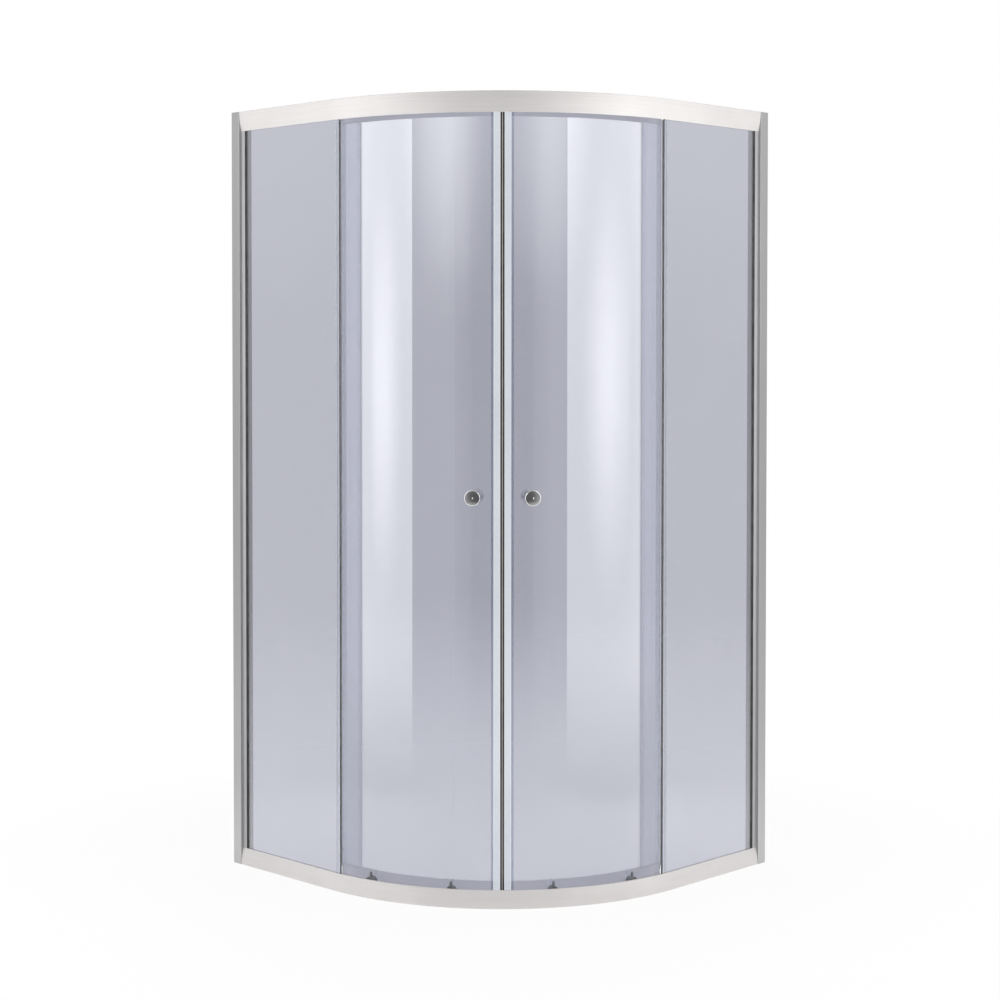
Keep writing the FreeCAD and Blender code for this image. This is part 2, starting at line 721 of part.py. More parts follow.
def top_roller_hub(blank):
    """Hub that carries the top axle off the glass, with a spigot through the glass hole."""
    neck = TOP_WHEEL_IN + RUNNING_GAP
    bore = BOLT_R + FIT
    spigot = GLASS_HOLE_R - FIT
    collar = turned(
        TOP_AXLE,
        (neck, bore), (neck, HUB_NECK_R), (neck + HUB_NECK, HUB_NECK_R), (neck + HUB_NECK, HUB_R),
        (DOOR_OUT + FIT, HUB_R), (DOOR_OUT + FIT, bore),
    ).cut(blank)
    sleeve = rod(spigot, DOOR_OUT - FIT, DOOR_OUT + HUB_SPIGOT, TOP_AXLE)
    return collar.fuse(sleeve.cut(rod(bore, DOOR_OUT - GLASS, DOOR_IN, TOP_AXLE))).removeSplitter()


def top_roller_axle():
    """Axle bolt with a low head outside the wheel and its end in the cap nut."""
    head = TOP_WHEEL_OUT - RUNNING_GAP
    end = DOOR_IN + CAP_NUT_GRIP
    return turned(
        TOP_AXLE,
        (head - TOP_HEAD, 0), (head - TOP_HEAD, TOP_HEAD_R - TOP_HEAD / 2),
        (head - TOP_HEAD / 2, TOP_HEAD_R), (head, TOP_HEAD_R), (head, BOLT_R), (end, BOLT_R), (end, 0),
    )


def top_roller_cap(blank):
    """Domed cap nut inside the door."""
    bore = BOLT_R + FIT
    rim = DOOR_IN + CAP_NUT_RIM
    middle, rise = dome(CAP_NUT_R, CAP_NUT_DOME)
    nut = turned(
        TOP_AXLE,
        (DOOR_IN - FIT, bore), (DOOR_IN - FIT, CAP_NUT_R), (rim, CAP_NUT_R),
        ((rim + rise, middle), (rim + CAP_NUT_DOME, 0)),
        (DOOR_IN + CAP_NUT_GRIP + FIT, 0), (DOOR_IN + CAP_NUT_GRIP + FIT, bore),
    )
    return nut.cut(blank)


def top_wheel():
    """Wheel with a slightly crowned tread and a thinner web between its hub and its rim."""
    middle = (TOP_WHEEL_OUT + TOP_WHEEL_IN) / 2
    edge = TOP_WHEEL_R - TOP_WHEEL_CROWN
    bore = BOLT_R + FIT
    web_out = TOP_WHEEL_OUT + TOP_WHEEL_RECESS
    web_in = TOP_WHEEL_IN - TOP_WHEEL_RECESS
    return turned(
        TOP_AXLE,
        (TOP_WHEEL_OUT, bore), (TOP_WHEEL_OUT, TOP_WHEEL_HUB), (web_out, TOP_WHEEL_HUB),
        (web_out, TOP_WHEEL_RIM), (TOP_WHEEL_OUT, TOP_WHEEL_RIM), (TOP_WHEEL_OUT, edge),
        ((middle, TOP_WHEEL_R), (TOP_WHEEL_IN, edge)), (TOP_WHEEL_IN, TOP_WHEEL_RIM),
        (web_in, TOP_WHEEL_RIM), (web_in, TOP_WHEEL_HUB), (TOP_WHEEL_IN, TOP_WHEEL_HUB),
        (TOP_WHEEL_IN, bore),
    )


def arch(half_width, z_low, n_out, n_in):
    """Round-topped piece seen along the inward direction, with its shoulder at the housing's."""
    shoulder = HOUSING_SHOULDER
    left = PANEL - half_width
    right = PANEL + half_width
    outline = face(
        at(left, n_out, z_low),
        at(left, n_out, shoulder),
        (at(PANEL, n_out, shoulder + half_width), at(right, n_out, shoulder)),
        at(right, n_out, z_low),
    )
    return outline.extrude(-OUTWARD * (n_in - n_out))


def bottom_roller_housing(blank):
    """Moulded housing on the outside of the door, open below, that guides the release post.

    The slot in its front lets the wheel's pin rise with the post.
    """
    shell = arch(HOUSING_HALF, HOUSING_FOOT, HOUSING_OUT, DOOR_OUT + FIT)
    room = arch(HOUSING_HALF - HOUSING_WALL, 0, CAVITY_OUT, CAVITY_IN)
    ceiling = block(
        PANEL - HOUSING_HALF, PANEL + HOUSING_HALF, CAVITY_OUT, CAVITY_IN,
        HOUSING_CEILING, HOUSING_SHOULDER + HOUSING_HALF,
    )
    slot_half = PIN_R + RUNNING_GAP
    slot_top = BOTTOM_AXLE + LIFT + slot_half
    slot = block(PANEL - slot_half, PANEL + slot_half, HOUSING_OUT, CAVITY_OUT, 0, slot_top)
    guide = Part.makeCylinder(POST_R + FIT, POST_TOP, at(PANEL, POST_N, 0))
    bore = rod(BOLT_R + FIT, DOOR_OUT - FIXING_GRIP - FIT, DOOR_IN, FIXING_HEIGHT)
    return shell.cut([room.cut(ceiling), slot, guide, bore, blank])


def bottom_roller_bolt(blank):
    """Fixing bolt from inside the door, with a wide low head."""
    rim = DOOR_IN + FIXING_RIM
    middle, rise = dome(FIXING_HEAD_R, FIXING_DOME)
    bolt = turned(
        FIXING_HEIGHT,
        (DOOR_OUT - FIXING_GRIP, 0), (DOOR_OUT - FIXING_GRIP, BOLT_R), (DOOR_IN - FIT, BOLT_R),
        (DOOR_IN - FIT, FIXING_HEAD_R), (rim, FIXING_HEAD_R),
        ((rim + rise, middle), (rim + FIXING_DOME, 0)),
    )
    return bolt.cut(blank.cut(rod(GLASS_HOLE_R, DOOR_OUT - GLASS, DOOR_IN + GLASS, FIXING_HEIGHT)))


def release_plunger():
    """Release post with a bridge, a cheek behind the housing's slot and the wheel's pin, in one piece."""
    outline = face(
        at(PANEL - CHEEK_HALF, CHEEK_OUT, BRIDGE_HIGH),
        at(PANEL - CHEEK_HALF, CHEEK_OUT, BOTTOM_AXLE),
        (at(PANEL, CHEEK_OUT, BOTTOM_AXLE - CHEEK_HALF), at(PANEL + CHEEK_HALF, CHEEK_OUT, BOTTOM_AXLE)),
        at(PANEL + CHEEK_HALF, CHEEK_OUT, BRIDGE_HIGH),
    )
    cheek = outline.extrude(-OUTWARD * CHEEK)
    bridge = block(
        PANEL - BRIDGE_HALF, PANEL + BRIDGE_HALF, CHEEK_OUT, POST_N + BRIDGE_HALF,
        BRIDGE_LOW, BRIDGE_HIGH,
    )
    pin_end = BOTTOM_WHEEL_OUT - RUNNING_GAP
    pin = rod(PIN_R, pin_end, CHEEK_OUT, BOTTOM_AXLE)
    pin_head = rod(PIN_HEAD_R, pin_end - PIN_HEAD, pin_end, BOTTOM_AXLE)
    collar = rod(PIN_HEAD_R, COLLAR_IN - PIN_HEAD, COLLAR_IN, BOTTOM_AXLE)
    middle, rise = dome(POST_R, POST_TIP)
    shoulder = POST_TOP - POST_TIP
    post = face(
        at(PANEL, POST_N, BRIDGE_HIGH),
        at(PANEL, POST_N + POST_R, BRIDGE_HIGH),
        at(PANEL, POST_N + POST_R, shoulder),
        (at(PANEL, POST_N + middle, shoulder + rise), at(PANEL, POST_N, POST_TOP)),
    ).revolve(at(PANEL, POST_N, 0), UP, 360)
    return cheek.fuse([bridge, pin, pin_head, collar, post]).removeSplitter()


def bottom_wheel():
    """Small guide wheel with bevelled rims, on the plunger's pin."""
    bore = PIN_R + FIT
    rim = BOTTOM_WHEEL_R - BOTTOM_WHEEL_EDGE
    return turned(
        BOTTOM_AXLE,
        (BOTTOM_WHEEL_OUT, bore), (BOTTOM_WHEEL_OUT, rim),
        (BOTTOM_WHEEL_OUT + BOTTOM_WHEEL_EDGE, BOTTOM_WHEEL_R),
        (BOTTOM_WHEEL_IN - BOTTOM_WHEEL_EDGE, BOTTOM_WHEEL_R),
        (BOTTOM_WHEEL_IN, rim), (BOTTOM_WHEEL_IN, bore),
    )


def biarc(start, start_way, end, end_way):
    """Two arcs that join two points and leave and arrive along two unit directions."""
    chord = end - start
    ways = start_way + end_way
    along = chord.dot(ways)
    short = 2 * (1 - start_way.dot(end_way))
    reach = (math.sqrt(along ** 2 + short * chord.dot(chord)) - along) / short
    first_corner = start + start_way * reach
    second_corner = end - end_way * reach
    joint = (first_corner + second_corner) * 0.5
    arcs = []
    for here, corner, there in ((start, first_corner, joint), (joint, second_corner, end)):
        half_chord = (there - here).Length / 2
        base = (here + there) * 0.5
        rise = (corner - base).Length
        sagitta = half_chord * math.tan(math.atan2(rise, half_chord) / 2)
        arcs.append(Part.Arc(here, base + (corner - base).normalize() * sagitta, there).toShape())
    return arcs


def release_spring():
    """Coil spring round the post, between the bridge and the ceiling of the housing."""
    low = BRIDGE_HIGH + SPRING_WIRE_R + FIT
    high = HOUSING_CEILING - SPRING_WIRE_R - FIT
    steps = 4 * SPRING_TURNS
    rise = (high - low) / (2 * math.pi * SPRING_TURNS)
    axis = at(PANEL, POST_N, low)

    def point(turn):
        return axis + Vector(SPRING_R * math.cos(turn), SPRING_R * math.sin(turn), rise * turn)

    def way(turn):
        return Vector(-SPRING_R * math.sin(turn), SPRING_R * math.cos(turn), rise).normalize()

    turns = [math.pi / 2 * step for step in range(steps + 1)]
    edges = []
    for here, there in zip(turns, turns[1:]):
        edges += biarc(point(here), way(here), point(there), way(there))
    path = Part.Wire(edges)
    section = Part.Wire([Part.makeCircle(SPRING_WIRE_R, point(0), way(0))])
    print("spring: least gap between turns %.2f mm" % (2 * math.pi * rise - 2 * SPRING_WIRE_R))
    return path.makePipeShell([section], True, False)


def frame_nodes():
    """Pieces that stay still, right-hand ones first made and then mirrored."""
    sided = {
        "wall_profile": wall_profile(),
        "side_jamb": side_jamb(),
        "jamb_gasket": jamb_gasket(),
        "fixed_glass": fixed_glass(),
        "fixed_edge_seal": fixed_edge_seal(),
    }
    shared = {
        "glazing_gaskets": glazing_gaskets(),
        "rail_screws": rail_screws(),
        "jamb_screws": jamb_screws(),
        "jamb_screw_caps": jamb_screw_caps(),
        "door_stops": [door_stop()],
    }
    nodes = {"top_rail": [top_rail()], "bottom_rail": [bottom_rail()]}
    for name, shape in sided.items():
        nodes[name + "_right"] = [shape]
        nodes[name + "_left"] = [mirrored(shape)]
    for name, shapes in shared.items():
        nodes[name] = shapes + [mirrored(shape) for shape in shapes]
    return nodes


def door_nodes():
    """Pieces of the right-hand door, by name without the side."""
    nodes = {
        "door_glass": [door_glass()],
        "magnet_seal": [magnet_seal()],
        "magnet_strip": [magnet_strip()],
        "trailing_seal": [trailing_seal()],
    }
    for name, shapes in knob_set().items():
        nodes[name] = [swung(shape, KNOB_ANGLE) for shape in shapes]
    paired = {
        "top_roller_hubs": top_roller_hub,
        "top_roller_caps": top_roller_cap,
        "bottom_roller_housings": bottom_roller_housing,
        "bottom_roller_bolts": bottom_roller_bolt,
    }
    for name, make in paired.items():
        nodes[name] = [
            swung(make(swung(door_blank(), -angle)), angle) for angle in ROLLER_ANGLES.values()
        ]
    nodes["top_roller_axles"] = [swung(top_roller_axle(), angle) for angle in ROLLER_ANGLES.values()]
    single = {
        "top_wheel": top_wheel(),
        "bottom_wheel": bottom_wheel(),
        "release_plunger": release_plunger(),
        "release_spring": release_spring(),
    }
    for name, shape in single.items():
        for place, angle in ROLLER_ANGLES.items():
            nodes[name + "_" + place] = [swung(shape, angle)]
    return nodes


def main():
    """Make every node and write it to its own file."""
    os.makedirs("parts", exist_ok=True)
    nodes = frame_nodes()
    for name, shapes in door_nodes().items():
        nodes[name + "_right"] = shapes
        nodes[name + "_left"] = [mirrored(shape) for shape in shapes]
    for name, shapes in nodes.items():
        shape = shapes[0] if len(shapes) == 1 else Part.makeCompound(shapes)
        shape.exportStep("parts/%s.step" % name)


main()
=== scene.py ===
"""Dressed scene of a quadrant shower enclosure.

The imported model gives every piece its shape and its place. This script gives each piece its
finish, adds the bearings of the top wheels and the springs that shorten as their posts are
lifted, and sets up the floor, the light and the camera. Lengths are in metres, +Z is up, and
the origin is on the floor in the middle of the square footprint. The bow of the enclosure
faces the corner of +X and -Y.
"""
from __future__ import annotations

import json
import logging
import math
from dataclasses import dataclass
from enum import Enum
from typing import Any

import bmesh
import bpy
from mathutils import Matrix, Vector

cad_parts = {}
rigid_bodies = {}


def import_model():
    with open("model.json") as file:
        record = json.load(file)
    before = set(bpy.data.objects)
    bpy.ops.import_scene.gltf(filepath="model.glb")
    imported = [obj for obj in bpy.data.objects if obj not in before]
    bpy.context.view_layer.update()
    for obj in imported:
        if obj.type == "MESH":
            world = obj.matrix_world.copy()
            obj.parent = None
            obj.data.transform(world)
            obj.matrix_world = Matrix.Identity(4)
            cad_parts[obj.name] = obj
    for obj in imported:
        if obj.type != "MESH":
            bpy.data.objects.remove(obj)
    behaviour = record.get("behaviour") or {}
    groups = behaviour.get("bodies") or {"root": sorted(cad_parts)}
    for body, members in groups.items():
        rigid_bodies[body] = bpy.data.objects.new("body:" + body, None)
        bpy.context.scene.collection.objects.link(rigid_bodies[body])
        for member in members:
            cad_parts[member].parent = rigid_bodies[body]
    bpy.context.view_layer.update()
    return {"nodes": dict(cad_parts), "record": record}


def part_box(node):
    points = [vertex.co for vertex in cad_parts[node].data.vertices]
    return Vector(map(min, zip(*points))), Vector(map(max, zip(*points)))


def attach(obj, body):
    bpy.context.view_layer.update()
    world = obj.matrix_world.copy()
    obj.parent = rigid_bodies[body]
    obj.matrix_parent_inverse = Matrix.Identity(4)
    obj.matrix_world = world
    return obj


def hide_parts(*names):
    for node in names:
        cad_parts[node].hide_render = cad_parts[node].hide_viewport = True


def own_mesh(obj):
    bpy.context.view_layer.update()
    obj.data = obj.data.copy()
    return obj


LOG = logging.getLogger("enclosure")
MERGE_DISTANCE = 1e-6
UP = (0.0, 0.0, 1.0)
WHITE = (1.0, 1.0, 1.0, 1.0)
NO_MIRROR_DEPTH = 0.5
# A Mix node names its sockets alike for every kind of data, so its colours go by number.
MIX_SHARE = 0
MIX_FIRST_COLOUR = 6
MIX_SECOND_COLOUR = 7
MIX_COLOUR_RESULT = 2
Colour = tuple[float, float, float]


class Side(Enum):
    """Half of the enclosure, as seen from outside."""

    RIGHT = "right"
    LEFT = "left"


class Place(Enum):
    """Place of a roller on its door."""

    LEAD = "lead"
    TRAIL = "trail"


class Face(Enum):
    """Face of a wheel, as the way in which it looks along the wheel's axle."""

    OUTER = 1
    INNER = -1


class Grain(Enum):
    """Way in which a profile was drawn, as the stretch of its grain along X, Y and Z."""

    LEVEL = (6.0, 6.0, 1600.0)
    UPRIGHT = (1600.0, 1600.0, 3.0)


class Wiring:
    """Adds nodes to one node tree and links them."""

    def __init__(self, tree: bpy.types.NodeTree) -> None:
        """Start from an empty tree.

        Args:
            tree: The node tree of a material, a world, a light or a group.
        """
        self.tree = tree
        tree.nodes.clear()

    def add(
        self, kind: str, inputs: dict[str | int, Any] | None = None, **settings: Any
    ) -> bpy.types.Node:
        """Add one node.

        Args:
            kind: Type of the node, without its ShaderNode prefix.
            inputs: Values or output sockets by the name or the number of the input.
            settings: Properties of the node itself.

        Returns:
            The new node.
        """
        node = self.tree.nodes.new("ShaderNode" + kind)
        for name, value in settings.items():
            setattr(node, name, value)
        for key, value in (inputs or {}).items():
            if isinstance(value, bpy.types.NodeSocket):
                self.tree.links.new(value, node.inputs[key])
            else:
                node.inputs[key].default_value = value
        return node

    def mix(self, share: Any, first: Any, second: Any) -> bpy.types.NodeSocket:
        """Blend two colours.

        Args:
            share: Share of the second colour, as a value or a socket.
            first: First colour, as three numbers or a socket.
            second: Second colour, as three numbers or a socket.

        Returns:
            The socket that carries the blend.
        """
        inputs = {MIX_SHARE: share}
        for place, colour in ((MIX_FIRST_COLOUR, first), (MIX_SECOND_COLOUR, second)):
            inputs[place] = (*colour, 1.0) if isinstance(colour, tuple) else colour
        return self.add("Mix", inputs, data_type="RGBA").outputs[MIX_COLOUR_RESULT]

    def ramp(
        self, value: Any, low: float, high: float, to_low: float, to_high: float
    ) -> bpy.types.NodeSocket:
        """Carry a value smoothly from one range to another.

        Args:
            value: Socket of the value.
            low: Value at which the new range starts.
            high: Value at which the new range ends.
            to_low: Start of the new range.
            to_high: End of the new range.

        Returns:
            The socket of the new value.
        """
        node = self.add(
            "MapRange",
            {"Value": value, "From Min": low, "From Max": high, "To Min": to_low, "To Max": to_high},
            interpolation_type="SMOOTHSTEP",
        )
        return node.outputs["Result"]

    def between(self, share: Any, first: Any, second: Any) -> bpy.types.NodeSocket:
        """Blend two values evenly, from the first at a share of 0 to the second at 1."""
        node = self.add("MapRange", {"Value": share, "To Min": first, "To Max": second})
        return node.outputs["Result"]

    def math(self, operation: str, first: Any, second: Any = 0.0) -> bpy.types.NodeSocket:
        """Work out one value from two, by the named operation of the Math node."""
        return self.add("Math", {0: first, 1: second}, operation=operation).outputs[0]

    def vector(
        self, operation: str, first: Any, second: Any = (0.0, 0.0, 0.0), output: str = "Vector"
    ) -> bpy.types.NodeSocket:
        """Work with vectors, by the named operation of the Vector Math node.

        Args:
            operation: Name of the operation.
            first: First vector, as three numbers or a socket.
            second: Second vector, which some operations leave aside.
            output: Output to take, which is Value where the answer is a number.

        Returns:
            The socket of the answer.
        """
        return self.add("VectorMath", {0: first, 1: second}, operation=operation).outputs[output]


@dataclass(frozen=True)
class Effect:
    """A shader node group that several finishes share."""

    name: str
    inputs: tuple[tuple[str, str], ...]
    outputs: tuple[tuple[str, str], ...]

    def group(self) -> bpy.types.NodeTree:
        """Make the group once.

        Returns:
            The group's node tree.
        """
        found = bpy.data.node_groups.get(self.name)
        if found:
            return found
        tree = bpy.data.node_groups.new(self.name, "ShaderNodeTree")
        for way, sockets in (("INPUT", self.inputs), ("OUTPUT", self.outputs)):
            for name, kind in sockets:
                tree.interface.new_socket(name, in_out=way, socket_type="NodeSocket" + kind)
        wiring = Wiring(tree)
        start = tree.nodes.new("NodeGroupInput")
        end = tree.nodes.new("NodeGroupOutput")
        for name, socket in self.wire(wiring, start.outputs).items():
            tree.links.new(socket, end.inputs[name])
        return tree

    def wire(self, wiring: Wiring, given: Any) -> dict[str, bpy.types.NodeSocket]:
        """Wire the inside of the group, which each effect does in its own way."""
        raise NotImplementedError

    def place(self, wiring: Wiring, inputs: dict[str, Any]) -> bpy.types.Node:
        """Place the group in a material.

        Args:
            wiring: Wiring of the material.
            inputs: Values or sockets for the group's inputs.

        Returns:
            The group node.
        """
        return wiring.add("Group", inputs, node_tree=self.group())


@dataclass(frozen=True)
class DrawnGrain(Effect):
    """Fine lines that a die leaves along a drawn profile, with slow drifts of tone."""

    name: str = "drawn_grain"
    inputs: tuple[tuple[str, str], ...] = (
        ("Stretch", "Vector"), ("Light", "Color"), ("Dark", "Color"), ("Smooth", "Float"),
        ("Rough", "Float"),
    )
    outputs: tuple[tuple[str, str], ...] = (
        ("Color", "Color"), ("Roughness", "Float"), ("Height", "Float"),
    )
    line_detail: float = 3.0
    line_share: float = 0.65
    drift_scale: float = 7.0
    drift_detail: float = 2.0
    tones: tuple[float, float] = (0.3, 0.7)

    def wire(self, wiring: Wiring, given: Any) -> dict[str, bpy.types.NodeSocket]:
        """Wire a stretched noise for the lines and a slow one for the tone.

        Args:
            wiring: Wiring of the group.
            given: Sockets of the group's inputs.

        Returns:
            The sockets of the group's outputs by name.
        """
        coords = wiring.add("TexCoord").outputs["Object"]
        drawn = wiring.add("Mapping", {"Vector": coords, "Scale": given["Stretch"]}).outputs[0]
        lines = wiring.add(
            "TexNoise", {"Vector": drawn, "Scale": 1.0, "Detail": self.line_detail}
        ).outputs[0]
        drift = wiring.add(
            "TexNoise", {"Vector": coords, "Scale": self.drift_scale, "Detail": self.drift_detail}
        ).outputs[0]
        both = wiring.math(
            "ADD",
            wiring.math("MULTIPLY", lines, self.line_share),
            wiring.math("MULTIPLY", drift, 1.0 - self.line_share),
        )
        share = wiring.ramp(both, *self.tones, 0.0, 1.0)
        return {
            "Color": wiring.mix(share, given["Light"], given["Dark"]),
            "Roughness": wiring.between(share, given["Smooth"], given["Rough"]),
            "Height": lines,
        }


@dataclass(frozen=True)
class HandlingMarks(Effect):
    """Faint patches where hands, cloths and water drops have touched a smooth surface."""

    name: str = "handling_marks"
    inputs: tuple[tuple[str, str], ...] = (
        ("Scale", "Float"), ("Clean", "Color"), ("Marked", "Color"), ("Smooth", "Float"),
        ("Rough", "Float"),
    )
    outputs: tuple[tuple[str, str], ...] = (("Color", "Color"), ("Roughness", "Float"))
    detail: float = 4.0
    patches: tuple[float, float] = (0.45, 0.75)

    def wire(self, wiring: Wiring, given: Any) -> dict[str, bpy.types.NodeSocket]:
        """Wire a soft noise, of which only the peaks count as marks.

        Args:
            wiring: Wiring of the group.
            given: Sockets of the group's inputs.

        Returns:
            The sockets of the group's outputs by name.
        """
        coords = wiring.add("TexCoord").outputs["Object"]
        soft = wiring.add(
            "TexNoise", {"Vector": coords, "Scale": given["Scale"], "Detail": self.detail}
        ).outputs[0]
        marks = wiring.ramp(soft, *self.patches, 0.0, 1.0)
        return {
            "Color": wiring.mix(marks, given["Clean"], given["Marked"]),
            "Roughness": wiring.between(marks, given["Smooth"], given["Rough"]),
        }


@dataclass(frozen=True)
class MouldGrain(Effect):
    """Fine pebbled skin of a moulded or extruded rubber and plastic piece."""

    name: str = "mould_grain"
    inputs: tuple[tuple[str, str], ...] = (
        ("Scale", "Float"), ("Light", "Color"), ("Dark", "Color"), ("Smooth", "Float"),
        ("Rough", "Float"),
    )
    outputs: tuple[tuple[str, str], ...] = (
        ("Color", "Color"), ("Roughness", "Float"), ("Height", "Float"),
    )
    tone_scale: float = 30.0
    tone_detail: float = 3.0
    tones: tuple[float, float] = (0.35, 0.65)

    def wire(self, wiring: Wiring, given: Any) -> dict[str, bpy.types.NodeSocket]:
        """Wire small cells for the skin and a slow noise for the tone.

        Args:
            wiring: Wiring of the group.
            given: Sockets of the group's inputs.

        Returns:
            The sockets of the group's outputs by name.
        """
        coords = wiring.add("TexCoord").outputs["Object"]
        cells = wiring.add("TexVoronoi", {"Vector": coords, "Scale": given["Scale"]})
        slow = wiring.add(
            "TexNoise", {"Vector": coords, "Scale": self.tone_scale, "Detail": self.tone_detail}
        ).outputs[0]
        share = wiring.ramp(slow, *self.tones, 0.0, 1.0)
        return {
            "Color": wiring.mix(share, given["Light"], given["Dark"]),
            "Roughness": wiring.between(share, given["Smooth"], given["Rough"]),
            "Height": cells.outputs["Distance"],
        }


@dataclass(frozen=True)
class GroundEdge(Effect):
    """Mask of the cut edges of a pane along the enclosure's plan, which is straight, bent, straight."""

    name: str = "ground_edge"
    inputs: tuple[tuple[str, str], ...] = (("Bow Centre", "Vector"),)
    outputs: tuple[tuple[str, str], ...] = (("Edge", "Float"),)
    turn_limits: tuple[float, float] = (0.5, 0.9)

    def wire(self, wiring: Wiring, given: Any) -> dict[str, bpy.types.NodeSocket]:
        """Wire the mask from the angle between a face and the way across the pane.

        Args:
            wiring: Wiring of the group.
            given: Sockets of the group's inputs.

        Returns:
            The sockets of the group's outputs by name.
        """
        coords = wiring.add("TexCoord").outputs
        spot = wiring.add("SeparateXYZ", {0: coords["Object"]}).outputs
        centre = wiring.add("SeparateXYZ", {0: given["Bow Centre"]}).outputs
        root = wiring.add("CombineXYZ", {
            "X": wiring.math("MINIMUM", spot["X"], centre["X"]),
            "Y": wiring.math("MAXIMUM", spot["Y"], centre["Y"]),
            "Z": spot["Z"],
        }).outputs[0]
        out = wiring.vector("SUBTRACT", coords["Object"], root)
        across = wiring.vector("NORMALIZE", out)
        turn = wiring.vector("DOT_PRODUCT", across, coords["Normal"], output="Value")
        return {"Edge": wiring.ramp(wiring.math("ABSOLUTE", turn), *self.turn_limits, 1.0, 0.0)}


DRAWN_GRAIN = DrawnGrain()
HANDLING_MARKS = HandlingMarks()
MOULD_GRAIN = MouldGrain()
GROUND_EDGE = GroundEdge()
BOW_CENTRE = Vector((-0.1, 0.1, 0.0))


@dataclass(frozen=True)
class Finish:
    """A named surface. Each kind of finish wires its own shader."""

    name: str
    slot: str

    def material(self) -> bpy.types.Material:
        """Make the material once.

        Returns:
            The material of this finish.
        """
        found = bpy.data.materials.get(self.name)
        if found:
            return found
        made = bpy.data.materials.new(self.name)
        made.use_nodes = True
        wiring = Wiring(made.node_tree)
        wiring.add("OutputMaterial", {"Surface": self.wire(wiring)})
        return made

    def wire(self, wiring: Wiring) -> bpy.types.NodeSocket:
        """Wire the shader, which each kind of finish does in its own way."""
        raise NotImplementedError

    def bumped(
        self, wiring: Wiring, height: bpy.types.NodeSocket, strength: float, depth: float
    ) -> bpy.types.NodeSocket:
        """Turn a height into a normal.

        Args:
            wiring: Wiring of the material.
            height: Socket of the height.
            strength: Strength of the bumps.
            depth: Depth of the bumps in metres.

        Returns:
            The socket of the normal.
        """
        bump = wiring.add("Bump", {"Height": height, "Strength": strength, "Distance": depth})
        return bump.outputs["Normal"]


@dataclass(frozen=True)
class DrawnMetal(Finish):
    """Anodised aluminium profile with a satin skin."""

    grain: Grain
    smooth: float
    rough: float
    light: Colour
    dark: Colour
    line_strength: float = 0.12
    line_depth: float = 0.0001

    def wire(self, wiring: Wiring) -> bpy.types.NodeSocket:
        """Wire a metal with grain along its draw.

        Args:
            wiring: Wiring of the material.

        Returns:
            The socket of the shader.
        """
        grain = DRAWN_GRAIN.place(wiring, {
            "Stretch": self.grain.value, "Light": (*self.light, 1.0), "Dark": (*self.dark, 1.0),
            "Smooth": self.smooth, "Rough": self.rough,
        }).outputs
        return wiring.add("BsdfPrincipled", {
            "Base Color": grain["Color"], "Roughness": grain["Roughness"], "Metallic": 1.0,
            "Normal": self.bumped(wiring, grain["Height"], self.line_strength, self.line_depth),
        }).outputs[0]


@dataclass(frozen=True)
class PlatedMetal(Finish):
    """Polished or plated steel and brass with faint handling marks."""

    clean: Colour
    marked: Colour
    smooth: float
    rough: float
    scale: float = 60.0

    def wire(self, wiring: Wiring) -> bpy.types.NodeSocket:
        """Wire a metal that is duller where it was touched.

        Args:
            wiring: Wiring of the material.

        Returns:
            The socket of the shader.
        """
        marks = HANDLING_MARKS.place(wiring, {
            "Scale": self.scale, "Clean": (*self.clean, 1.0), "Marked": (*self.marked, 1.0),
            "Smooth": self.smooth, "Rough": self.rough,
        }).outputs
        return wiring.add("BsdfPrincipled", {
            "Base Color": marks["Color"], "Roughness": marks["Roughness"], "Metallic": 1.0,
        }).outputs[0]


@dataclass(frozen=True)
class TintedGlass(Finish):
    """Glass or clear plastic with a tint. Light from the lamps passes through it.

    Attributes:
        clean: Tint where nothing has touched it.
        marked: Tint where hands and water have touched it.
        smooth: Roughness where it is clean.
        rough: Roughness where it is marked.
        clear: Share of the light that passes rather than scatters.
        index: Refractive index.
        coat: Weight of the mirroring film on its faces.
        coat_index: Refractive index of that film.
        scale: Marks in a metre, roughly.
    """

    clean: Colour = (0.444, 0.454, 0.533)
    marked: Colour = (0.456, 0.465, 0.541)
    smooth: float = 0.0
    rough: float = 0.02
    clear: float = 1.0
    index: float = 1.52
    coat: float = 1.0
    coat_index: float = 1.9
    scale: float = 5.0

    def skin(self, wiring: Wiring) -> dict[str, Any]:
        """Wire what changes over the surface.

        Args:
            wiring: Wiring of the material.

        Returns:
            Sockets and values for the shader's inputs by name.
        """
        marks = HANDLING_MARKS.place(wiring, {
            "Scale": self.scale, "Clean": (*self.clean, 1.0), "Marked": (*self.marked, 1.0),
            "Smooth": self.smooth, "Rough": self.rough,
        }).outputs
        return {
            "Base Color": marks["Color"], "Roughness": marks["Roughness"], "Coat Weight": self.coat,
        }

    def wire(self, wiring: Wiring) -> bpy.types.NodeSocket:
        """Wire clear glass that lets lamps through.

        Args:
            wiring: Wiring of the material.

        Returns:
            The socket of the shader.
        """
        glass = wiring.add("BsdfPrincipled", {
            **self.skin(wiring), "IOR": self.index, "Transmission Weight": self.clear,
            "Coat Roughness": 0.0, "Coat IOR": self.coat_index,
        })
        per_surface = tuple(math.sqrt(share) for share in self.marked)
        lamp_light = wiring.add("BsdfTransparent", {"Color": (*per_surface, 1.0)})
        shadow_ray = wiring.add("LightPath").outputs["Is Shadow Ray"]
        both = wiring.add("MixShader", {0: shadow_ray, 1: glass.outputs[0], 2: lamp_light.outputs[0]})
        return both.outputs[0]


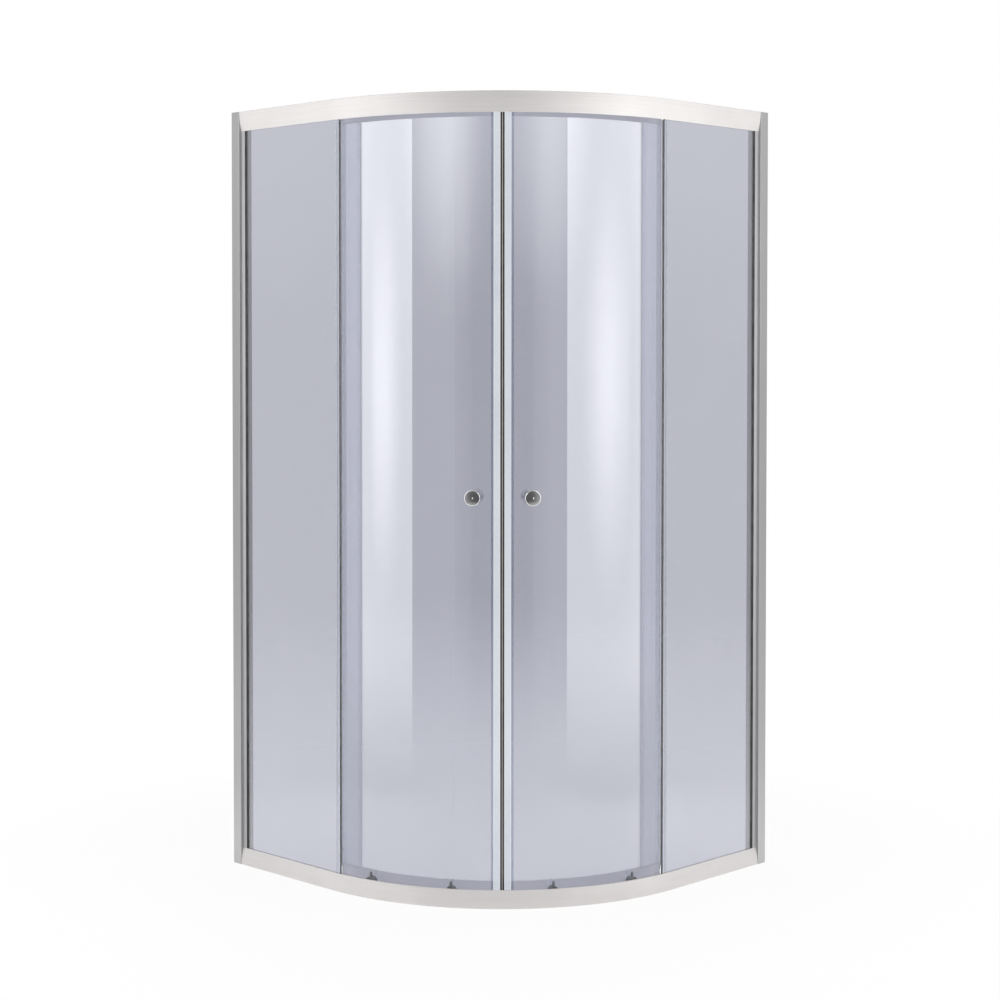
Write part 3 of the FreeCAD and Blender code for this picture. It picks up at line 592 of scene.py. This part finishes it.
@dataclass(frozen=True)
class PaneGlass(TintedGlass):
    """Tinted pane with ground edges."""

    ground: Colour = (0.98, 0.985, 0.985)
    ground_rough: float = 0.6

    def skin(self, wiring: Wiring) -> dict[str, Any]:
        """Wire the clear faces and the pale ground edges.

        Args:
            wiring: Wiring of the material.

        Returns:
            Sockets and values for the shader's inputs by name.
        """
        face = super().skin(wiring)
        edge = GROUND_EDGE.place(wiring, {"Bow Centre": BOW_CENTRE}).outputs["Edge"]
        return {
            "Base Color": wiring.mix(edge, face["Base Color"], self.ground),
            "Roughness": wiring.between(edge, face["Roughness"], self.ground_rough),
            "Coat Weight": wiring.between(edge, face["Coat Weight"], 0.0),
        }


@dataclass(frozen=True)
class Moulded(Finish):
    """Rubber or plastic with a fine skin."""

    light: Colour
    dark: Colour
    smooth: float
    rough: float
    scale: float = 900.0
    skin_strength: float = 0.15
    skin_depth: float = 0.0002

    def wire(self, wiring: Wiring) -> bpy.types.NodeSocket:
        """Wire a plastic with a pebbled skin.

        Args:
            wiring: Wiring of the material.

        Returns:
            The socket of the shader.
        """
        grain = MOULD_GRAIN.place(wiring, {
            "Scale": self.scale, "Light": (*self.light, 1.0), "Dark": (*self.dark, 1.0),
            "Smooth": self.smooth, "Rough": self.rough,
        }).outputs
        return wiring.add("BsdfPrincipled", {
            "Base Color": grain["Color"], "Roughness": grain["Roughness"],
            "Normal": self.bumped(wiring, grain["Height"], self.skin_strength, self.skin_depth),
        }).outputs[0]


LEVEL_ALUMINIUM = DrawnMetal(
    "satin_aluminium_level", "satin_aluminium", Grain.LEVEL, smooth=0.66, rough=0.72,
    light=(0.683, 0.667, 0.659), dark=(0.638, 0.622, 0.615),
)
# The same aluminium as the rails, painted darker: its colour holds painted shade of the upright wall
# profiles.
SHADED_UPRIGHT_ALUMINIUM = DrawnMetal(
    "satin_aluminium_upright", "satin_aluminium", Grain.UPRIGHT, smooth=0.28, rough=0.34,
    light=(0.45, 0.445, 0.445), dark=(0.41, 0.405, 0.405),
)
# The same aluminium again, painted darker than the rails: its colour holds painted shade of the
# set-back jambs.
SHADED_SETBACK_ALUMINIUM = DrawnMetal(
    "satin_aluminium_setback", "satin_aluminium", Grain.UPRIGHT, smooth=0.62, rough=0.70,
    light=(0.51, 0.505, 0.515), dark=(0.46, 0.456, 0.466),
)
GREY_GLASS = PaneGlass("toughened_grey_glass", "grey_tint_glass")
CLEAR_VINYL = TintedGlass(
    "clear_vinyl", "clear_pvc", clean=(0.96, 0.965, 0.975), marked=(0.93, 0.935, 0.95),
    smooth=0.02, rough=0.08, index=1.15, coat=0.0,
)
BLUISH_VINYL = TintedGlass(
    "bluish_vinyl", "clear_pvc", clean=(0.83, 0.85, 0.885), marked=(0.79, 0.81, 0.85),
    smooth=0.03, rough=0.08, index=1.3, coat=0.0,
)
BLACK_GASKET = Moulded(
    "black_gasket", "black_rubber", light=(0.020, 0.020, 0.022), dark=(0.012, 0.012, 0.013),
    smooth=0.5, rough=0.7,
)
MAGNET_TAPE = Moulded(
    "magnet_tape", "magnet_rubber", light=(0.060, 0.048, 0.044), dark=(0.038, 0.030, 0.028),
    smooth=0.45, rough=0.65,
)
CHROME = PlatedMetal(
    "polished_chrome", "chrome_plate", clean=(0.78, 0.78, 0.79), marked=(0.70, 0.70, 0.71),
    smooth=0.03, rough=0.12,
)
ZINC = PlatedMetal(
    "zinc_plated_steel", "steel", clean=(0.56, 0.56, 0.58), marked=(0.46, 0.46, 0.49),
    smooth=0.22, rough=0.42, scale=140.0,
)
GREY_PLASTIC = Moulded(
    "dark_grey_plastic", "grey_plastic", light=(0.215, 0.224, 0.240), dark=(0.168, 0.175, 0.188),
    smooth=0.35, rough=0.5,
)
NYLON = Moulded(
    "white_nylon", "white_nylon", light=(0.74, 0.74, 0.71), dark=(0.66, 0.66, 0.63),
    smooth=0.4, rough=0.55,
)


@dataclass
class Assembly:
    """A group of pieces that are dressed together."""

    nodes: dict[str, bpy.types.Object]

    def finishes(self) -> dict[str, Finish]:
        """Finish of each piece by name, which each assembly gives."""
        raise NotImplementedError

    def build(self) -> None:
        """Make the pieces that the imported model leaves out, which most assemblies don't have."""

    def dress(self) -> None:
        """Give every piece of the assembly its finish."""
        for name, finish in self.finishes().items():
            mesh = self.nodes[name].data
            mesh.materials.clear()
            mesh.materials.append(finish.material())
            LOG.info("dressed %s in %s", name, finish.name)


@dataclass
class Rails(Assembly):
    """Bent rails above and below, with what sits in their pockets and tracks."""

    def finishes(self) -> dict[str, Finish]:
        """Finish of each piece by name."""
        return {
            "top_rail": LEVEL_ALUMINIUM,
            "bottom_rail": LEVEL_ALUMINIUM,
            "glazing_gaskets": BLACK_GASKET,
            "door_stops": BLACK_GASKET,
            "rail_screws": ZINC,
        }


@dataclass
class SidePanels(Assembly):
    """Wall profiles, jambs and fixed panes on both sides."""

    def finishes(self) -> dict[str, Finish]:
        """Finish of each piece by name."""
        sided = {
            # Wall profiles and jambs take the darker copies of the rails' aluminium, with painted shade
            # in their colour.
            "wall_profile": SHADED_UPRIGHT_ALUMINIUM,
            "side_jamb": SHADED_SETBACK_ALUMINIUM,
            "jamb_gasket": BLACK_GASKET,
            "fixed_glass": GREY_GLASS,
            "fixed_edge_seal": CLEAR_VINYL,
        }
        found = {f"{name}_{side.value}": finish for name, finish in sided.items() for side in Side}
        found["jamb_screws"] = ZINC
        found["jamb_screw_caps"] = GREY_PLASTIC
        return found


@dataclass
class Door(Assembly):
    """One bent sliding door with its seals and its pair of knobs."""

    side: Side

    def finishes(self) -> dict[str, Finish]:
        """Finish of each piece by name."""
        pieces = {
            "door_glass": GREY_GLASS,
            "magnet_seal": BLUISH_VINYL,
            "magnet_strip": MAGNET_TAPE,
            "trailing_seal": CLEAR_VINYL,
            "knob_outer": CHROME,
            "knob_inner": CHROME,
            "knob_bolt": ZINC,
            "knob_washers": BLACK_GASKET,
        }
        return {f"{name}_{self.side.value}": finish for name, finish in pieces.items()}


@dataclass
class Rollers(Assembly):
    """Rollers of one door, with the bearings in its top wheels and the springs of its posts.

    Attributes:
        side: Side of the door.
        joints: The record's joints by name.
        bearing_inner: Inner radius of a bearing.
        bearing_outer: Outer radius of a bearing.
        race_width: Width of each of its two races.
        race_height: Height of the races over the wheel's web.
        shield_height: Height of the shield between the races over the web.
        shield_slope: Width of the slope from a race down to the shield.
        web_from_middle: Distance of the web's face from the middle of the wheel.
        bearing_steps: Steps round a bearing.
        wire_radius: Radius of a spring's wire.
        wire_sides: Sides of the wire's section.
        spring_turns: Turns of a spring.
        steps_per_turn: Steps in each turn.
    """

    side: Side
    joints: dict[str, dict[str, Any]]
    bearing_inner: float = 0.0052
    bearing_outer: float = 0.0086
    race_width: float = 0.0007
    race_height: float = 0.0006
    shield_height: float = 0.00035
    shield_slope: float = 0.0002
    web_from_middle: float = 0.00185
    bearing_steps: int = 40
    wire_radius: float = 0.0005
    wire_sides: int = 12
    spring_turns: int = 4
    steps_per_turn: int = 32

    def build(self) -> None:
        """Make the bearings on both faces of the top wheels, and the springs of the bottom rollers."""
        for place in Place:
            ending = f"{place.value}_{self.side.value}"
            wheel = f"top_wheel_{ending}"
            for face in Face:
                bearing = self.bearing(f"bearing_{face.name.lower()}_{ending}", wheel, face)
                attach(bearing, f"{wheel}_body")
            self.spring(ending)

    def spring(self, ending: str) -> None:
        """Coil one spring, which shortens from its foot when its release post is lifted.

        Args:
            ending: Place and side of the roller, as they end its names.
        """
        node = f"release_spring_{ending}"
        joint = self.joints[f"release_post_{ending}_lift"]
        low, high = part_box(node)
        middle = (low + high) / 2
        radius = (high.x - low.x) / 2 - self.wire_radius
        steps = self.spring_turns * self.steps_per_turn
        shape = bmesh.new()
        start = Matrix.Translation((middle.x + radius, middle.y, low.z + self.wire_radius))
        wire = bmesh.ops.create_circle(
            shape, segments=self.wire_sides, radius=self.wire_radius,
            matrix=start @ Matrix.Rotation(math.pi / 2, 4, "X"),
        )["verts"]
        rise = (high.z - low.z - 2 * self.wire_radius) / steps
        bmesh.ops.spin(
            shape, geom=wire + shape.edges[:], cent=middle, axis=UP, dvec=(0.0, 0.0, rise),
            angle=math.tau * self.spring_turns, steps=steps,
        )
        ends = [edge for edge in shape.edges if edge.is_boundary]
        bmesh.ops.holes_fill(shape, edges=ends, sides=self.wire_sides)
        piece = self.finished(shape, f"coil_spring_{ending}")
        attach(piece, joint["parent"])
        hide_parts(node)
        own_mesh(piece)

    def bearing(self, name: str, wheel: str, face: Face) -> bpy.types.Object:
        """Spin the two races and the shield of one bearing, and set them on the wheel's web.

        Args:
            name: Name of the piece.
            wheel: Name of the wheel's node.
            face: Face of the wheel on which the bearing shows.

        Returns:
            The piece.
        """
        inner_race = self.bearing_inner + self.race_width
        outer_race = self.bearing_outer - self.race_width
        outline = (
            (self.bearing_inner, 0.0),
            (self.bearing_inner, self.race_height),
            (inner_race, self.race_height),
            (inner_race + self.shield_slope, self.shield_height),
            (outer_race - self.shield_slope, self.shield_height),
            (outer_race, self.race_height),
            (self.bearing_outer, self.race_height),
            (self.bearing_outer, 0.0),
        )
        shape = bmesh.new()
        ring = [shape.verts.new((radius, 0.0, height)) for radius, height in outline]
        edges = [shape.edges.new((ring[i - 1], ring[i])) for i in range(len(ring))]
        bmesh.ops.spin(
            shape, geom=ring + edges, cent=(0.0, 0.0, 0.0), axis=UP, angle=math.tau,
            steps=self.bearing_steps, use_merge=True,
        )
        low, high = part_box(wheel)
        middle = (low + high) / 2
        way = ((middle - BOW_CENTRE) * Vector((1.0, 1.0, 0.0))).normalized() * face.value
        turn = way.to_track_quat("Z", "Y").to_matrix().to_4x4()
        place = Matrix.Translation(middle + way * self.web_from_middle)
        bmesh.ops.transform(shape, matrix=place @ turn, verts=shape.verts)
        return self.finished(shape, name)

    def finished(self, shape: bmesh.types.BMesh, name: str) -> bpy.types.Object:
        """Close a shape's seams and make it a steel piece.

        Args:
            shape: The shape, in its place.
            name: Name of the piece.

        Returns:
            The piece.
        """
        bmesh.ops.remove_doubles(shape, verts=shape.verts, dist=MERGE_DISTANCE)
        bmesh.ops.recalc_face_normals(shape, faces=shape.faces)
        # A spin leaves the faces in an order that changes from run to run, so they are put in one.
        shape.verts.index_update()
        ordered = sorted(shape.faces, key=lambda face: sorted(vert.index for vert in face.verts))
        for place, face in enumerate(ordered):
            face.index = place
            # Only the flat ends of a spring's wire have as many corners as the wire has sides.
            face.smooth = len(face.verts) < self.wire_sides
        shape.faces.sort()
        mesh = bpy.data.meshes.new(name)
        shape.to_mesh(mesh)
        shape.free()
        mesh.materials.append(ZINC.material())
        piece = bpy.data.objects.new(name, mesh)
        bpy.context.scene.collection.objects.link(piece)
        LOG.info("built %s", name)
        return piece

    def finishes(self) -> dict[str, Finish]:
        """Finish of each piece by name."""
        paired = {
            "top_roller_hubs": GREY_PLASTIC,
            "top_roller_axles": ZINC,
            "top_roller_caps": CHROME,
            "bottom_roller_housings": GREY_PLASTIC,
            "bottom_roller_bolts": CHROME,
        }
        single = {
            "top_wheel": NYLON,
            "bottom_wheel": NYLON,
            "release_plunger": GREY_PLASTIC,
            "release_spring": ZINC,
        }
        found = {f"{name}_{self.side.value}": finish for name, finish in paired.items()}
        for place in Place:
            for name, finish in single.items():
                found[f"{name}_{place.value}_{self.side.value}"] = finish
        return found


def first_look(wiring: Wiring, path: Any) -> bpy.types.NodeSocket:
    """Tell whether a ray has met no mirror yet, as 1 or 0."""
    return wiring.math("LESS_THAN", path["Glossy Depth"], NO_MIRROR_DEPTH)


def through_glass(wiring: Wiring, path: Any) -> bpy.types.NodeSocket:
    """Tell whether a ray has just come through glass and has met no mirror yet, as 1 or 0."""
    return wiring.math("MULTIPLY", path["Is Transmission Ray"], first_look(wiring, path))


def seen_directly(wiring: Wiring, path: Any) -> bpy.types.NodeSocket:
    """Tell whether a ray comes from the camera with nothing but glass between, as 1 or 0."""
    return wiring.math("MAXIMUM", path["Is Camera Ray"], through_glass(wiring, path))


@dataclass(frozen=True)
class Softbox:
    """A rectangular studio lamp with a soft hot spot, which faces the enclosure.

    Attributes:
        name: Name of the lamp.
        bearing: Degrees from the axis to the camera, to the right of the picture where positive.
        distance: Level distance from the middle of the enclosure.
        width: Width of the lamp.
        height: Height of the lamp.
        middle: Height of its middle above the floor.
        radiance: Light where the glow is 1.
        base: Glow at the foot and at the head, away from the hot spot.
        hot_spot: Place of the hot spot, as shares of the width and the height.
        reach: Distances at which the hot spot starts to fade and is gone, as such shares.
        foot_fade: Share of the height over which the foot fades out.
    """

    name: str
    bearing: float
    distance: float
    width: float
    height: float
    middle: float
    radiance: float
    base: tuple[float, float]
    hot_spot: tuple[float, float] = (0.5, 0.5)
    reach: tuple[float, float] = (0.0, 0.3)
    foot_fade: float = 0.2

    def build(self, axis: Vector) -> bpy.types.Object:
        """Make the lamp.

        Args:
            axis: Level direction from the enclosure to the camera, from which bearings are taken.

        Returns:
            The lamp's object.
        """
        lamp = bpy.data.lights.new(self.name, "AREA")
        lamp.shape = "RECTANGLE"
        lamp.size = self.width
        lamp.size_y = self.height
        lamp.energy = self.radiance * math.pi * self.width * self.height
        lamp.use_nodes = True
        wiring = Wiring(lamp.node_tree)
        spot = wiring.add("NewGeometry").outputs["Parametric"]
        up = wiring.add("SeparateXYZ", {0: spot}).outputs["Y"]
        off = wiring.vector("DISTANCE", spot, (*self.hot_spot, 0.0), output="Value")
        hot = wiring.ramp(off, *self.reach, 1.0 - max(self.base), 0.0)
        foot = wiring.ramp(up, 0.0, self.foot_fade, 0.0, 1.0)
        whole = wiring.math("ADD", wiring.ramp(up, 0.0, 1.0, *self.base), hot)
        glow = wiring.math("MULTIPLY", whole, foot)
        path = wiring.add("LightPath").outputs
        shown = wiring.math("SUBTRACT", 1.0, through_glass(wiring, path))
        strength = wiring.math("MULTIPLY", glow, shown)
        emission = wiring.add("Emission", {"Color": WHITE, "Strength": strength})
        wiring.add("OutputLight", {"Surface": emission.outputs[0]})
        made = bpy.data.objects.new(self.name, lamp)
        way = Matrix.Rotation(math.radians(self.bearing), 3, "Z") @ axis
        target = Vector((0.0, 0.0, self.middle))
        made.location = way * self.distance + target
        made.rotation_euler = (target - made.location).to_track_quat("-Z", "Y").to_euler()
        made.visible_camera = False
        bpy.context.scene.collection.objects.link(made)
        LOG.info("lamp %s", self.name)
        return made


SOFTBOXES = (
    Softbox(
        "softbox_left", bearing=-63.5, distance=1.4375, width=1.0, height=2.3, middle=1.15,
        radiance=2.75, base=(0.38, 0.64), hot_spot=(0.6, 0.49),
    ),
    Softbox(
        "softbox_right", bearing=58.5, distance=1.368, width=1.31, height=2.3, middle=1.15,
        radiance=2.6, base=(0.37, 0.60), hot_spot=(0.42, 0.5),
    ),
    Softbox(
        "softbox_high_left", bearing=-27.0, distance=3.2, width=3.6, height=2.2, middle=2.3,
        radiance=1.45, base=(0.0, 0.0), reach=(0.05, 0.5),
    ),
    Softbox(
        "softbox_high_right", bearing=23.0, distance=3.2, width=3.6, height=2.2, middle=2.3,
        radiance=1.2, base=(0.0, 0.0), reach=(0.05, 0.5),
    ),
)


@dataclass
class Studio:
    """White floor and backdrop, soft light and the camera of the photograph.

    Attributes:
        axis: Level direction from the enclosure to the camera.
        camera_distance: Level distance of the camera from the middle of the enclosure.
        camera_offset: Distance of the camera to the side of the axis.
        camera_height: Height of the camera above the floor.
        camera_tilt: Degrees by which the camera looks down.
        lens: Focal length in millimetres.
        shift: Shift of the lens across and up.
        floor_size: Length of a side of the floor.
        paper: Colour of the floor's paper.
        shadow_share: Share of lit paper in the floor near the enclosure, which shows its shadow.
        shadow_reach: Distances at which that share starts to fade and is gone.
        floor_reach: Distances at which the floor in a mirror starts to fade and is gone.
        floor_glow: Glow of the floor in a mirror.
        ambient: Light of the world on the far side and on the camera's side.
        ambient_reach: Cosines to the axis between which the one turns into the other.
        camera_side: Brightness, in a mirror, of the studio on the camera's side.
        side_reach: Cosines to the axis between which it falls to that.
        camera_core: Share of that brightness right behind the camera.
        core_reach: Cosines to the axis between which it falls to that share.
        horizon_share: Share of the brightness, in a mirror, from the horizon down.
        horizon_reach: Rises of a ray between which it grows from that share to the whole.
    """

    axis: Vector
    camera_distance: float = 4.7742
    camera_offset: float = -0.08
    camera_height: float = 1.2188
    camera_tilt: float = 1.6
    lens: float = 72.16
    shift: tuple[float, float] = (0.0339, -0.0904)
    floor_size: float = 24.0
    paper: Colour = (0.86, 0.86, 0.86)
    shadow_share: float = 0.10
    shadow_reach: tuple[float, float] = (0.7, 1.5)
    floor_reach: tuple[float, float] = (0.6, 6.5)
    floor_glow: float = 0.45
    ambient: tuple[float, float] = (0.95, 0.5)
    ambient_reach: tuple[float, float] = (-0.6, 0.6)
    camera_side: float = 0.6
    side_reach: tuple[float, float] = (-0.2, 0.6)
    camera_core: float = 0.25
    core_reach: tuple[float, float] = (0.88, 0.975)
    horizon_share: float = 0.78
    horizon_reach: tuple[float, float] = (-0.02, 0.14)

    def build(self) -> None:
        """Set up the floor, the world, the lamps and the camera."""
        bpy.context.scene.view_settings.view_transform = "Standard"
        self.build_floor()
        self.build_world()
        for softbox in SOFTBOXES:
            softbox.build(self.axis)
        self.build_camera()

    def build_floor(self) -> None:
        """Lay a white floor that keeps the enclosure's shadow and turns into the backdrop far away."""
        bpy.ops.mesh.primitive_plane_add(size=self.floor_size)
        floor = bpy.context.object
        floor.name = "floor"
        material = bpy.data.materials.new("white_floor")
        material.use_nodes = True
        wiring = Wiring(material.node_tree)
        coords = wiring.add("TexCoord").outputs["Object"]
        far = wiring.vector("LENGTH", coords, output="Value")
        lit_share = wiring.ramp(far, *self.shadow_reach, self.shadow_share, 0.0)
        path = wiring.add("LightPath").outputs
        seen = seen_directly(wiring, path)
        share = wiring.math("MULTIPLY", seen, wiring.math("SUBTRACT", 1.0, lit_share))
        paper = wiring.add("BsdfDiffuse", {"Color": (*self.paper, 1.0)})
        white = wiring.add("Emission", {"Color": WHITE, "Strength": 1.0})
        glow = wiring.add("Emission", {"Color": WHITE, "Strength": self.floor_glow})
        lit = wiring.add("AddShader", {0: paper.outputs[0], 1: glow.outputs[0]})
        clear = wiring.add("BsdfTransparent")
        away = wiring.ramp(far, *self.floor_reach, 0.0, 1.0)
        mirrored = wiring.add("MixShader", {0: away, 1: lit.outputs[0], 2: clear.outputs[0]})
        plain = wiring.add("MixShader", {0: share, 1: paper.outputs[0], 2: white.outputs[0]})
        first = first_look(wiring, path)
        surface = wiring.add("MixShader", {0: first, 1: mirrored.outputs[0], 2: plain.outputs[0]})
        wiring.add("OutputMaterial", {"Surface": surface.outputs[0]})
        floor.data.materials.append(material)
        LOG.info("floor laid")

    def build_world(self) -> None:
        """Make a white backdrop, with the dim half of the studio behind the camera."""
        world = bpy.data.worlds.new("studio")
        world.use_nodes = True
        bpy.context.scene.world = world
        wiring = Wiring(world.node_tree)
        way = wiring.add("TexCoord").outputs["Generated"]
        towards = wiring.vector("DOT_PRODUCT", way, tuple(self.axis), output="Value")
        height = wiring.add("SeparateXYZ", {0: way}).outputs["Z"]
        rise = wiring.ramp(height, *self.horizon_reach, self.horizon_share, 1.0)
        core = wiring.ramp(towards, *self.core_reach, 1.0, self.camera_core)
        front = wiring.ramp(towards, *self.side_reach, 1.0, self.camera_side)
        mirrored = wiring.math("MULTIPLY", wiring.math("MULTIPLY", front, core), rise)
        ambient = wiring.ramp(towards, *self.ambient_reach, *self.ambient)
        path = wiring.add("LightPath").outputs
        lit = wiring.between(path["Is Glossy Ray"], ambient, mirrored)
        strength = wiring.between(seen_directly(wiring, path), lit, 1.0)
        backdrop = wiring.add("Background", {"Color": WHITE, "Strength": strength})
        wiring.add("OutputWorld", {"Surface": backdrop.outputs[0]})
        LOG.info("backdrop made")

    def build_camera(self) -> None:
        """Stand the camera in front of the bow, at the angle of the photograph."""
        camera = bpy.data.cameras.new("camera")
        camera.lens = self.lens
        camera.shift_x, camera.shift_y = self.shift
        made = bpy.data.objects.new("camera", camera)
        across = Vector(UP).cross(self.axis)
        made.location = self.axis * self.camera_distance + across * self.camera_offset
        made.location.z = self.camera_height
        tilt = math.radians(self.camera_tilt)
        look = -self.axis * math.cos(tilt) - Vector((0.0, 0.0, math.sin(tilt)))
        made.rotation_euler = look.to_track_quat("-Z", "Y").to_euler()
        bpy.context.scene.collection.objects.link(made)
        bpy.context.scene.camera = made
        LOG.info("camera placed")


def main() -> None:
    """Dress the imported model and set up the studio."""
    logging.basicConfig(level=logging.INFO, format="%(name)s: %(message)s")
    for started in list(bpy.data.objects):
        bpy.data.objects.remove(started)
    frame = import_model()
    nodes = frame["nodes"]
    joints = {joint["name"]: joint for joint in frame["record"]["behaviour"]["joints"]}
    assemblies: list[Assembly] = [Rails(nodes), SidePanels(nodes)]
    for side in Side:
        assemblies += [Door(nodes, side), Rollers(nodes, side, joints)]
    for assembly in assemblies:
        assembly.build()
        assembly.dress()
    Studio(Vector((1.0, -1.0, 0.0)).normalized()).build()


if __name__ == "__main__":
    main()
